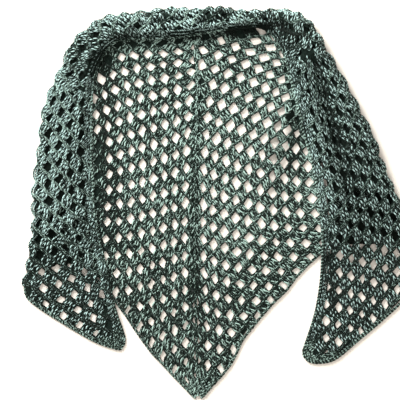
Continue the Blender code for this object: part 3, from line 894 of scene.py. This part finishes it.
def ground(patch, name, material):
    """The cloth's own layer between the yarns: one thin sheet with a gap in each cell inside its limits."""
    r, i, u, v = patch.cells(0.0)
    near = patch.limits(u, v, -11.0)
    r, i, u, v = r[near], i[near], u[near], v[near]
    holed = patch.limits(u, v, patch.margin)
    side = np.array([(0.5, -0.25), (0.5, 0.0), (0.5, 0.25), (0.5, 0.5)])
    quarter_turn = np.array([(0, 1), (-1, 0)])
    sides = [side @ np.linalg.matrix_power(quarter_turn, k) for k in range(4)]
    edge_p, edge_q = np.concatenate(sides).T
    angle = np.arctan2(edge_q, edge_p)
    squareness = 9
    round_off = (np.abs([np.cos(angle), np.sin(angle)]) ** squareness).sum(0) ** (-1 / squareness)
    size = patch.size(r, i)[:, None]
    shrink = np.where(holed, 1.0, 0.02)[:, None]
    hole_p = (GAP_P * size + 0.03) * (np.cos(angle) * round_off)[None] * shrink
    hole_q = (GAP_Q * size + 0.015) * (np.sin(angle) * round_off)[None] * shrink
    rings = []
    for share in (0.0, 0.5, 1.0):
        p = i[:, None] + edge_p * (1 - share) + hole_p * share
        q = edge_q * (1 - share) + hole_q * share
        spot, normals = patch.frame_of(*patch.clamp(*patch.locate(*patch.plan(r[:, None], p, q))))
        spot = spot - 0.0007 * normals
        spot[..., 2] = np.maximum(spot[..., 2], 0.0003)
        rings.append(spot)
    index = np.arange(len(r) * 3 * 16).reshape(len(r), 3, 16)
    after = np.roll(index, -1, axis=2)
    quads = np.stack([index[:, :-1], after[:, :-1], after[:, 1:], index[:, 1:]], -1).reshape(-1, 4)
    fans = index[~holed, 2]
    rounded = np.round(np.stack(rings, 1).reshape(-1, 3), 5)
    spots, weld = np.unique(rounded, axis=0, return_inverse=True)
    quads, fans = weld.reshape(-1)[quads], weld.reshape(-1)[fans]
    same = quads == np.roll(quads, -1, axis=1)
    whole, folded = quads[same.sum(1) == 0], quads[same.sum(1) == 1]
    drop = (folded == np.roll(folded, -1, axis=1)).argmax(1)
    triangles = folded[np.arange(4)[None] != drop[:, None]].reshape(-1, 3)
    whole = whole[cross_size(spots, whole, (0, 2), (1, 3)) > 1e-8]
    triangles = triangles[cross_size(spots, triangles, (0, 1), (0, 2)) > 1e-8]
    ordered = np.sort(fans, 1)
    polygons = [whole, triangles, fans[(ordered[:, 1:] != ordered[:, :-1]).all(1)]]
    corners = np.concatenate([p.reshape(-1) for p in polygons])
    return make_mesh(name, spots, polygons, spots[corners][:, :2] * 1000, material)


# Materials

def set_inputs(node, **values):
    """Sets sockets, named with an underscore for each space."""
    for name, value in values.items():
        node.inputs[name.replace("_", " ")].default_value = value


def node_material(name):
    material = bpy.data.materials.new(name)
    material.use_nodes = True
    tree = material.node_tree
    return material, tree, tree.nodes["Principled BSDF"]


def math_node(tree, operation, *values):
    node = tree.nodes.new("ShaderNodeMath")
    node.operation = operation
    for socket, value in zip(node.inputs, values):
        if isinstance(value, (int, float)):
            socket.default_value = value
        else:
            tree.links.new(value, socket)
    return node.outputs[0]


def ramp_node(tree, factor, stops):
    node = tree.nodes.new("ShaderNodeValToRGB")
    ramp = node.color_ramp
    while len(ramp.elements) < len(stops):
        ramp.elements.new(0.5)
    for element, (position, colour) in zip(ramp.elements, stops):
        element.position = position
        element.color = (*colour, 1.0)
    tree.links.new(factor, node.inputs["Fac"])
    return node.outputs["Color"]


def noise_node(tree, vector, detail, distortion=0.0):
    node = tree.nodes.new("ShaderNodeTexNoise")
    set_inputs(node, Scale=1.0, Detail=detail, Distortion=distortion)
    tree.links.new(vector, node.inputs["Vector"])
    return node.outputs["Fac"]


def yarn_noise(tree, along, turn, along_scale, turn_scale, detail):
    """Noise stretched along the plies of a yarn."""
    node = tree.nodes.new("ShaderNodeCombineXYZ")
    tree.links.new(math_node(tree, "MULTIPLY", along, along_scale), node.inputs["X"])
    tree.links.new(math_node(tree, "MULTIPLY", turn, turn_scale), node.inputs["Y"])
    return noise_node(tree, node.outputs[0], detail)


def finish_shader(tree, shader, colour, height, strength, distance, rough, specular):
    """Joins colour, roughness and a bump of this height, in metres, to the shader."""
    bump = tree.nodes.new("ShaderNodeBump")
    set_inputs(bump, Strength=strength, Distance=distance)
    tree.links.new(height, bump.inputs["Height"])
    tree.links.new(bump.outputs["Normal"], shader.inputs["Normal"])
    tree.links.new(colour, shader.inputs["Base Color"])
    tree.links.new(rough, shader.inputs["Roughness"])
    set_inputs(shader, Specular_IOR_Level=specular)


def yarn_material(name, light, pitch, pale, marl=0.36):
    """Two-ply marled yarn: a dark and a pale ply wound round each other, with fibres along them. pitch is
    millimetres for each turn of the plies, pale how pale the yarn is, and marl how far the plies differ."""
    material, tree, shader = node_material(name)
    uv = tree.nodes.new("ShaderNodeUVMap")
    uv.uv_map = "yarn"
    split = tree.nodes.new("ShaderNodeSeparateXYZ")
    tree.links.new(uv.outputs["UV"], split.inputs[0])
    along, around = split.outputs["X"], split.outputs["Y"]
    turn = math_node(tree, "ADD", math_node(tree, "MULTIPLY", along, 1 / pitch), around)
    ply = math_node(tree, "SINE", math_node(tree, "MULTIPLY", turn, 2 * math.pi))
    flecks = yarn_noise(tree, along, turn, 0.42, 2.0, 2.0)
    fibres = yarn_noise(tree, along, turn, 1.3, 9.0, 3.0)
    # The tone attribute carries painted shade and light as well as the marl's own unevenness.
    tone = tree.nodes.new("ShaderNodeAttribute")
    tone.attribute_name = "tone"
    mixed = math_node(tree, "MULTIPLY_ADD", ply, marl, math_node(tree, "ADD", tone.outputs["Fac"], pale))
    mixed = math_node(tree, "ADD", mixed, math_node(tree, "MULTIPLY_ADD", flecks, 1.60, -0.425))
    mixed = math_node(tree, "ADD", mixed, math_node(tree, "MULTIPLY", fibres, 0.30))
    # The palest stop, 1.7 times the pale ply, is a painted highlight on the palest flecks.
    painted_highlight = tuple(min(c * 1.7, 1) for c in light)
    colour = ramp_node(tree, mixed, [(0.45, DARK), (0.65, MIDDLE), (0.78, light), (0.95, painted_highlight)])
    height = math_node(tree, "MULTIPLY_ADD", fibres, 0.7, math_node(tree, "ABSOLUTE", ply))
    rough = math_node(tree, "MULTIPLY_ADD", fibres, 0.25, 0.55)
    finish_shader(tree, shader, colour, height, 0.75, 0.0006, rough, 0.15)
    set_inputs(shader, Sheen_Weight=0.06, Sheen_Roughness=0.45)
    return material


def shade_material(name, dark, light):
    """Yarn in the shade between and under the stitches: short crossing fibres, darker than the strands."""
    material, tree, shader = node_material(name)
    coordinates = tree.nodes.new("ShaderNodeTexCoord")
    stretch = tree.nodes.new("ShaderNodeMapping")
    set_inputs(stretch, Scale=(620.0, 420.0, 500.0))
    tree.links.new(coordinates.outputs["Object"], stretch.inputs["Vector"])
    noise = noise_node(tree, stretch.outputs["Vector"], 4.0, 1.2)
    colour = ramp_node(tree, noise, [(0.35, dark), (0.70, light)])
    rough = math_node(tree, "MULTIPLY_ADD", noise, 0.2, 0.75)
    finish_shader(tree, shader, colour, noise, 0.8, 0.0008, rough, 0.08)
    return material


DARK = (0.001, 0.006, 0.003)
MIDDLE = (0.018, 0.042, 0.030)
LIGHT = (0.228, 0.318, 0.278)
# The band's copy of the yarn is painted lit: a paler, bluer pale ply and stronger marl than the back's, for
# the cool key light on the raised band; its plies also turn more tightly.
BAND_LIT_PALE_PLY = (0.262, 0.362, 0.340)
cloth_yarn = yarn_material("marled_yarn", LIGHT, 16.0, 0.08)
lit_band_yarn = yarn_material("band_marled_yarn_painted_lit", BAND_LIT_PALE_PLY, 9.5, 0.02, 0.46)
chain_yarn = yarn_material("chain_marled_yarn", LIGHT, 12.0, 0.06, 0.20)
edging_yarn = yarn_material("edging_marled_yarn", LIGHT, 7.0, 0.02)
ground_look = shade_material("yarn_in_shade", (0.002, 0.005, 0.004), (0.015, 0.026, 0.020))
hidden_look = shade_material("folded_layers_in_shade", (0.001, 0.002, 0.0015), (0.009, 0.015, 0.011))


# The stretches of cloth

sheets, yarns = {}, {}
for number, patch in enumerate(patches):
    name = patch.name
    yarn = Yarn()
    stitches(patch, yarn, np.random.default_rng(100 + number))
    if not patch.lies_flat:
        first, last = np.clip(STRETCHES[name], *POINT_ENDS)
        side_rows(yarn, first, last, 200 + number)
        outer_loops(yarn, *np.clip((first, last), *FOLD_SECTIONS), 300 + number)
    yarns[name] = yarn.mesh(name + "_stitches", cloth_yarn if patch.lies_flat else lit_band_yarn, chain_yarn)
    sheets[name] = ground(patch, name + "_cloth", ground_look)


# The edgings and the centre line

def front_line(first, last, depth=EDGING_HALF):
    lines = band_lines(steps(first, last))
    low = top_height(lines, np.full_like(lines.turn, INSET))
    low = np.maximum(low, support(lines.front[:, 0], lines.front[:, 1]))
    return place(*at_reach(lines, depth), low + EDGING_LIFT)


def round_wing(name, front, hem, depth=EDGING_HALF):
    """One line round a wing's point at a depth from its edges: runs of its hem and front edge, and the
    point between them."""
    lines = band_lines(steps(*hem))
    hem_line = place(*at_reach(lines, lines.length - depth), EDGING_LIFT)[::-1]
    points, aim = (np.array(part) for part in WING_POINTS[name])
    point_line = place(*(points + unit(aim - points) * depth).T, EDGING_LIFT)
    if name == "left_wing":
        return np.concatenate([hem_line, point_line, front_line(*front, depth)])
    return np.concatenate([front_line(*front, depth), point_line[::-1], hem_line])


def edging(name, outline, seed, inner=()):
    """A braid along the outline, and one along each inner line."""
    yarn = Yarn()
    rng = np.random.default_rng(seed)
    for line in (outline, *inner):
        braid(yarn, line, EDGING_YARN, 1.40, 0.75, 20.0, rng)
    return yarn.mesh(name + "_braid", edging_yarn)


# Sections round each wing's point: of the hem's edging, of the first inner braid along the hem, and of the
# other inner braids there and of all of them along the front edge
WING_RUNS = {
    "left_wing": ((0.0, 4.4), (0.0, 3.0), (0.0, 1.0)),
    "right_wing": ((48.4, 53.0), (49.6, 53.0), (51.6, 53.0)),
}
edgings = {}
for number, (stretch, (first, last)) in enumerate(STRETCHES.items()):
    outline, inner = front_line(first, last), []
    if stretch in WING_RUNS:
        hem, longer, shorter = WING_RUNS[stretch]
        outline = round_wing(stretch, (first, last), hem)
        inner = [round_wing(stretch, shorter, longer if depth < 4 else shorter, depth)
                 for depth in (3.6, 6.0, 8.4, 10.8)]
    name = stretch.replace("_roll", "") + "_edging"
    edgings[name] = edging(name, outline, 11 + number, inner)

for name, side, seed in (("hem_edging_left", -1, 17), ("hem_edging_right", 1, 19)):
    ys = np.concatenate([np.arange(190.0, 398.0, 1.5), [398.0]])
    leg, middle, fold = back_half(side, ys)
    shown = fold - leg > BACK_INSET
    ys, middle = ys[shown], middle[shown]
    out = np.maximum(leg[shown] - EDGING_HALF * 1.3, middle + 0.8)
    inner = []
    for shrink, lift in ((0.80, 2.4), (0.55, 5.0), (0.30, 7.6)):
        tip = ys > 380.0 - lift
        x = side * (middle + shrink * (out - middle))
        inner.append(place(x[tip], ys[tip] - lift, EDGING_LIFT))
    edgings[name] = edging(name, place(side * out, ys, EDGING_LIFT), seed, inner)

spine_yarn = Yarn()
ys = np.arange(24.0, 398.0, 2.0)
spine_line = place(back_at(ys)[1], ys, SPINE_LIFT)
braid(spine_yarn, spine_line, SPINE_YARN, 1.3, 0.6, 19.0, np.random.default_rng(30))
spine = spine_yarn.mesh("spine_braid", cloth_yarn)


def inner_layer(name, first, last):
    """The layer folded under a wing where the rounded fold ends: it closes the gaps from below."""
    s, share = np.meshgrid(steps(first, last, 0.25), np.linspace(0, 1, 25), indexing="ij")
    lines = band_lines(s)
    start = 0.12 * lines.length
    reach = start + (lines.turn - 0.5 - start) * share
    spot = band_point(s, reach)
    ragged = 0.0006 * np.sin(5.1 * s + 0.9 * reach) + 0.0006 * np.sin(0.7 * reach - 3.3 * s)
    spot[..., 2] = 0.0012 + 0.25 * np.maximum(spot[..., 2] - 0.004, 0) + ragged
    free_edge = np.abs(s - (first if first < 20 else last)) < 0.01
    spot[..., 1] += 2.0 * SQUARE * np.sin(0.55 * reach) * free_edge
    rows, columns = s.shape
    index = np.arange(rows * columns).reshape(rows, columns)
    quads = np.stack([index[:-1, :-1], index[1:, :-1], index[1:, 1:], index[:-1, 1:]], -1).reshape(-1, 4)
    spots = spot.reshape(-1, 3)
    return make_mesh(name, spots, [quads], spots[quads.reshape(-1)][:, :2] * 1000, hidden_look)


left_layer = inner_layer("left_wing_inner_layer", 5.4, 9.2)
right_layer = inner_layer("right_wing_inner_layer", 43.0, 46.2)


# What each piece stands for

def stand_for(piece, slot, *nodes):
    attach(piece, "root")
    if nodes:
        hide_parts(*nodes)


for name, sheet in sheets.items():
    slot = "cloth" if name.startswith("back") else "wing_cloth" if name.endswith("wing") else "neck_cloth"
    stand_for(sheet, slot, name)
    stand_for(yarns[name], slot, name)
for name, piece in edgings.items():
    stand_for(piece, "edging", name)
stand_for(spine, "spine", "spine")
for layer in (left_layer, right_layer):
    stand_for(layer, "hidden_cloth")

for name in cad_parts:
    if name.endswith("hidden_layers"):
        node = bpy.data.objects[name]
        node.data.materials.clear()
        node.data.materials.append(hidden_look)


# Floor, lights, camera

FLOOR_HALF = 6.0
floor_mesh = bpy.data.meshes.new("floor")
corners = [(FLOOR_HALF * x, FLOOR_HALF * y, -0.0002) for x, y in ((-1, -1), (1, -1), (1, 1), (-1, 1))]
floor_mesh.from_pydata(corners, [], [(0, 1, 2, 3)])
floor = add_object("floor", floor_mesh)
floor_look, _, floor_shader = node_material("floor_sheet")
set_inputs(floor_shader, Base_Color=(0.94, 0.87, 0.79, 1.0), Roughness=0.9)
floor_mesh.materials.append(floor_look)


def area_light(name, location, size, energy, colour):
    """A round light aimed at the origin."""
    light = bpy.data.lights.new(name, "AREA")
    light.shape = "DISK"
    light.size = size
    light.energy = energy
    light.color = colour
    lamp = add_object(name, light)
    lamp.location = location
    lamp.rotation_euler = (-Vector(location)).to_track_quat("-Z", "Y").to_euler()


area_light("key", (-1.5, 2.15, 1.35), 2.1, 222.0, (0.97, 1.0, 1.0))
area_light("fill", (0.8, -1.4, 2.6), 2.5, 22.0, (1.0, 0.95, 0.89))
world = bpy.data.worlds.new("room")
world.use_nodes = True
set_inputs(world.node_tree.nodes["Background"], Color=(1.0, 0.975, 0.94, 1.0), Strength=0.62)
scene.world = world
scene.view_settings.view_transform = "Standard"

# The photo looks straight down, and shows the chart's squares 0 to 400 both ways
CAMERA_HEIGHT = 8.0
camera_data = bpy.data.cameras.new("camera")
camera_data.sensor_width = 36.0
camera_data.lens = camera_data.sensor_width * CAMERA_HEIGHT / (400 * SQUARE)
camera = add_object("camera", camera_data)
camera.location = place(200.0, 200.0, CAMERA_HEIGHT)
scene.camera = camera
